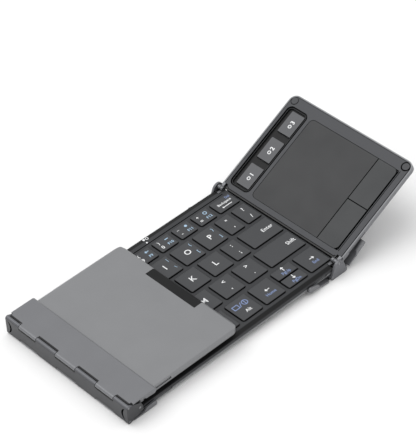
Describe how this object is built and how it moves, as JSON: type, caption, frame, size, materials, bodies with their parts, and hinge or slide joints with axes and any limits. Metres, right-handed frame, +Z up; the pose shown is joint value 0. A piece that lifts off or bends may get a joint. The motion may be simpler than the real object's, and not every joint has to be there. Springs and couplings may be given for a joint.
{
  "type": "folding keyboard",
  "caption": "Folding keyboard whose outer leaves turn on spine-and-wing seam hinges, with staggered key rows and a touch pad leaf with click and mode buttons, half open.",
  "frame": {"origin": "centre of the right spine's flat underside, on the table the keyboard stands on", "axes": "+Z up from the table, +X from the folded left leaf towards the raised right leaf, +Y from the space bar towards the number row"},
  "size_m": [0.2251, 0.098, 0.0424],
  "materials": {
    "cover_metal": "satin anodised",
    "frame_plastic": "matt moulded",
    "bezel_plastic": "matt moulded",
    "key_plastic": "fine matt texture",
    "wing_metal": "satin painted",
    "spine_metal": "satin painted",
    "knuckle_metal": "satin",
    "pin_steel": "bright",
    "plate_steel": "black",
    "battery_foil": "dull foil",
    "board": "solder mask",
    "pad_plastic": "very fine matt",
    "button_plastic": "matt",
    "mode_plastic": "satin",
    "window_plastic": "matt",
    "right_cover": "matt",
    "magnet_cap": "matt"
  },
  "bodies": {
    "base": {"base_shell": "cover_metal", "base_deck": "bezel_plastic", "base_key_plate": "plate_steel", "base_battery": "battery_foil", "base_board": "board", "base_screws": "plate_steel", "base_lugs": "knuckle_metal"},
    "left_hinge": {"left_spine": "spine_metal", "left_hinge_pins": "pin_steel"},
    "left_lower_wing": {"left_wing_lower": "wing_metal"},
    "left_upper_wing": {"left_wing_upper": "wing_metal"},
    "left_leaf": {"left_shell": "cover_metal", "left_deck": "bezel_plastic", "left_key_plate": "plate_steel", "left_lugs": "knuckle_metal", "left_antenna_window": "window_plastic"},
    "right_hinge": {"right_spine": "spine_metal", "right_hinge_pins": "pin_steel"},
    "right_base_wing": {"right_wing_base": "wing_metal"},
    "right_leaf_wing": {"right_wing_leaf": "wing_metal"},
    "right_leaf": {"right_shell": "right_cover", "right_deck": "frame_plastic", "right_lugs": "knuckle_metal", "right_magnets": "magnet_cap", "touchpad": "pad_plastic"},
    "key_0": {"key_0": "key_plastic"},
    "key_minus": {"key_minus": "key_plastic"},
    "key_equals": {"key_equals": "key_plastic"},
    "key_backspace": {"key_backspace": "key_plastic"},
    "key_o": {"key_o": "key_plastic"},
    "key_p": {"key_p": "key_plastic"},
    "key_quote": {"key_quote": "key_plastic"},
    "key_slash": {"key_slash": "key_plastic"},
    "key_k": {"key_k": "key_plastic"},
    "key_l": {"key_l": "key_plastic"},
    "key_semicolon": {"key_semicolon": "key_plastic"},
    "key_enter": {"key_enter": "key_plastic"},
    "key_comma": {"key_comma": "key_plastic"},
    "key_period": {"key_period": "key_plastic"},
    "key_shift": {"key_shift": "key_plastic"},
    "key_alt": {"key_alt": "key_plastic"},
    "key_left": {"key_left": "key_plastic"},
    "key_up": {"key_up": "key_plastic"},
    "key_down": {"key_down": "key_plastic"},
    "key_right": {"key_right": "key_plastic"},
    "keys_4_to_9": {"keys_4_to_9": "key_plastic"},
    "keys_r_to_i": {"keys_r_to_i": "key_plastic"},
    "keys_f_to_j": {"keys_f_to_j": "key_plastic"},
    "keys_c_to_m": {"keys_c_to_m": "key_plastic"},
    "key_space": {"key_space": "key_plastic"},
    "left_keys_numbers": {"left_keys_numbers": "key_plastic"},
    "left_keys_upper": {"left_keys_upper": "key_plastic"},
    "left_keys_home": {"left_keys_home": "key_plastic"},
    "left_keys_lower": {"left_keys_lower": "key_plastic"},
    "left_keys_thumb": {"left_keys_thumb": "key_plastic"},
    "click_left": {"click_left": "button_plastic"},
    "click_right": {"click_right": "button_plastic"},
    "mode_button_1": {"mode_button_1": "mode_plastic"},
    "mode_button_2": {"mode_button_2": "mode_plastic"},
    "mode_button_3": {"mode_button_3": "mode_plastic"}
  },
  "joints": [
    {"name": "left_hinge_turn", "type": "hinge", "parent": "base", "child": "left_hinge", "pos_m": [-0.15118, 0, 0.00648], "axis": [0, -1, 0], "range_deg": [0, 93]},
    {"name": "left_leaf_turn", "type": "hinge", "parent": "left_hinge", "child": "left_leaf", "pos_m": [-0.15118, 0, 0.00648], "axis": [0, -1, 0], "range_deg": [0, 90]},
    {"name": "left_lower_wing_turn", "type": "hinge", "parent": "left_hinge", "child": "left_lower_wing", "pos_m": [-0.15879, 0, 0.0014], "axis": [0, -1, 0], "range_deg": [-84.89, 0]},
    {"name": "left_upper_wing_turn", "type": "hinge", "parent": "left_hinge", "child": "left_upper_wing", "pos_m": [-0.15896, 0, 0.0113], "axis": [0, -1, 0], "range_deg": [0, 81]},
    {"name": "right_hinge_turn", "type": "hinge", "parent": "base", "child": "right_hinge", "pos_m": [0, 0, 0.0091], "axis": [0, -1, 0], "range_deg": [-2.01, 90.99]},
    {"name": "right_leaf_turn", "type": "hinge", "parent": "right_hinge", "child": "right_leaf", "pos_m": [0, 0, 0.0091], "axis": [0, -1, 0], "range_deg": [-28.79, 61.21]},
    {"name": "right_base_wing_turn", "type": "hinge", "parent": "right_hinge", "child": "right_base_wing", "pos_m": [-0.00495, 0, 0.0014], "axis": [0, -1, 0], "range_deg": [-83.06, 1.84]},
    {"name": "right_leaf_wing_turn", "type": "hinge", "parent": "right_hinge", "child": "right_leaf_wing", "pos_m": [0.00495, 0, 0.0014], "axis": [0, -1, 0], "range_deg": [-25.92, 55.09]},
    {"name": "key_0_press", "type": "slide", "parent": "base", "child": "key_0", "axis": [0.0173, 0, -0.9999], "range_m": [0, 0.001], "stiffness_N_per_m": 600},
    {"name": "key_minus_press", "type": "slide", "parent": "base", "child": "key_minus", "axis": [0.0173, 0, -0.9999], "range_m": [0, 0.001], "stiffness_N_per_m": 600},
    {"name": "key_equals_press", "type": "slide", "parent": "base", "child": "key_equals", "axis": [0.0173, 0, -0.9999], "range_m": [0, 0.001], "stiffness_N_per_m": 600},
    {"name": "key_backspace_press", "type": "slide", "parent": "base", "child": "key_backspace", "axis": [0.0173, 0, -0.9999], "range_m": [0, 0.001], "stiffness_N_per_m": 600},
    {"name": "key_o_press", "type": "slide", "parent": "base", "child": "key_o", "axis": [0.0173, 0, -0.9999], "range_m": [0, 0.001], "stiffness_N_per_m": 600},
    {"name": "key_p_press", "type": "slide", "parent": "base", "child": "key_p", "axis": [0.0173, 0, -0.9999], "range_m": [0, 0.001], "stiffness_N_per_m": 600},
    {"name": "key_quote_press", "type": "slide", "parent": "base", "child": "key_quote", "axis": [0.0173, 0, -0.9999], "range_m": [0, 0.001], "stiffness_N_per_m": 600},
    {"name": "key_slash_press", "type": "slide", "parent": "base", "child": "key_slash", "axis": [0.0173, 0, -0.9999], "range_m": [0, 0.001], "stiffness_N_per_m": 600},
    {"name": "key_k_press", "type": "slide", "parent": "base", "child": "key_k", "axis": [0.0173, 0, -0.9999], "range_m": [0, 0.001], "stiffness_N_per_m": 600},
    {"name": "key_l_press", "type": "slide", "parent": "base", "child": "key_l", "axis": [0.0173, 0, -0.9999], "range_m": [0, 0.001], "stiffness_N_per_m": 600},
    {"name": "key_semicolon_press", "type": "slide", "parent": "base", "child": "key_semicolon", "axis": [0.0173, 0, -0.9999], "range_m": [0, 0.001], "stiffness_N_per_m": 600},
    {"name": "key_enter_press", "type": "slide", "parent": "base", "child": "key_enter", "axis": [0.0173, 0, -0.9999], "range_m": [0, 0.001], "stiffness_N_per_m": 600},
    {"name": "key_comma_press", "type": "slide", "parent": "base", "child": "key_comma", "axis": [0.0173, 0, -0.9999], "range_m": [0, 0.001], "stiffness_N_per_m": 600},
    {"name": "key_period_press", "type": "slide", "parent": "base", "child": "key_period", "axis": [0.0173, 0, -0.9999], "range_m": [0, 0.001], "stiffness_N_per_m": 600},
    {"name": "key_shift_press", "type": "slide", "parent": "base", "child": "key_shift", "axis": [0.0173, 0, -0.9999], "range_m": [0, 0.001], "stiffness_N_per_m": 600},
    {"name": "key_alt_press", "type": "slide", "parent": "base", "child": "key_alt", "axis": [0.0173, 0, -0.9999], "range_m": [0, 0.001], "stiffness_N_per_m": 600},
    {"name": "key_left_press", "type": "slide", "parent": "base", "child": "key_left", "axis": [0.0173, 0, -0.9999], "range_m": [0, 0.001], "stiffness_N_per_m": 600},
    {"name": "key_up_press", "type": "slide", "parent": "base", "child": "key_up", "axis": [0.0173, 0, -0.9999], "range_m": [0, 0.001], "stiffness_N_per_m": 600},
    {"name": "key_down_press", "type": "slide", "parent": "base", "child": "key_down", "axis": [0.0173, 0, -0.9999], "range_m": [0, 0.001], "stiffness_N_per_m": 600},
    {"name": "key_right_press", "type": "slide", "parent": "base", "child": "key_right", "axis": [0.0173, 0, -0.9999], "range_m": [0, 0.001], "stiffness_N_per_m": 600},
    {"name": "keys_4_to_9_press", "type": "slide", "parent": "base", "child": "keys_4_to_9", "axis": [0.0173, 0, -0.9999], "range_m": [0, 0.001], "stiffness_N_per_m": 700},
    {"name": "keys_r_to_i_press", "type": "slide", "parent": "base", "child": "keys_r_to_i", "axis": [0.0173, 0, -0.9999], "range_m": [0, 0.001], "stiffness_N_per_m": 700},
    {"name": "keys_f_to_j_press", "type": "slide", "parent": "base", "child": "keys_f_to_j", "axis": [0.0173, 0, -0.9999], "range_m": [0, 0.001], "stiffness_N_per_m": 700},
    {"name": "keys_c_to_m_press", "type": "slide", "parent": "base", "child": "keys_c_to_m", "axis": [0.0173, 0, -0.9999], "range_m": [0, 0.001], "stiffness_N_per_m": 700},
    {"name": "key_space_press", "type": "slide", "parent": "base", "child": "key_space", "axis": [0.0173, 0, -0.9999], "range_m": [0, 0.001], "stiffness_N_per_m": 600},
    {"name": "left_keys_numbers_press", "type": "slide", "parent": "left_leaf", "child": "left_keys_numbers", "axis": [-0.0173, 0, 0.9999], "range_m": [0, 0.001], "stiffness_N_per_m": 700},
    {"name": "left_keys_upper_press", "type": "slide", "parent": "left_leaf", "child": "left_keys_upper", "axis": [-0.0173, 0, 0.9999], "range_m": [0, 0.001], "stiffness_N_per_m": 700},
    {"name": "left_keys_home_press", "type": "slide", "parent": "left_leaf", "child": "left_keys_home", "axis": [-0.0173, 0, 0.9999], "range_m": [0, 0.001], "stiffness_N_per_m": 700},
    {"name": "left_keys_lower_press", "type": "slide", "parent": "left_leaf", "child": "left_keys_lower", "axis": [-0.0173, 0, 0.9999], "range_m": [0, 0.001], "stiffness_N_per_m": 700},
    {"name": "left_keys_thumb_press", "type": "slide", "parent": "left_leaf", "child": "left_keys_thumb", "axis": [-0.0173, 0, 0.9999], "range_m": [0, 0.001], "stiffness_N_per_m": 700},
    {"name": "click_left_press", "type": "slide", "parent": "right_leaf", "child": "click_left", "axis": [0.4816, 0, -0.8764], "range_m": [0, 0.0004], "stiffness_N_per_m": 2000},
    {"name": "click_right_press", "type": "slide", "parent": "right_leaf", "child": "click_right", "axis": [0.4816, 0, -0.8764], "range_m": [0, 0.0004], "stiffness_N_per_m": 2000},
    {"name": "mode_button_1_press", "type": "slide", "parent": "right_leaf", "child": "mode_button_1", "axis": [0.4816, 0, -0.8764], "range_m": [0, 0.0004], "stiffness_N_per_m": 2500},
    {"name": "mode_button_2_press", "type": "slide", "parent": "right_leaf", "child": "mode_button_2", "axis": [0.4816, 0, -0.8764], "range_m": [0, 0.0004], "stiffness_N_per_m": 2500},
    {"name": "mode_button_3_press", "type": "slide", "parent": "right_leaf", "child": "mode_button_3", "axis": [0.4816, 0, -0.8764], "range_m": [0, 0.0004], "stiffness_N_per_m": 2500}
  ],
  "couplings": [
    {"joint": "left_lower_wing_turn", "follows": "left_hinge_turn", "ratio": -0.91279},
    {"joint": "left_upper_wing_turn", "follows": "left_leaf_turn", "ratio": 0.89996},
    {"joint": "right_base_wing_turn", "follows": "right_hinge_turn", "ratio": -0.91279},
    {"joint": "right_leaf_wing_turn", "follows": "right_leaf_turn", "ratio": 0.89996}
  ]
}
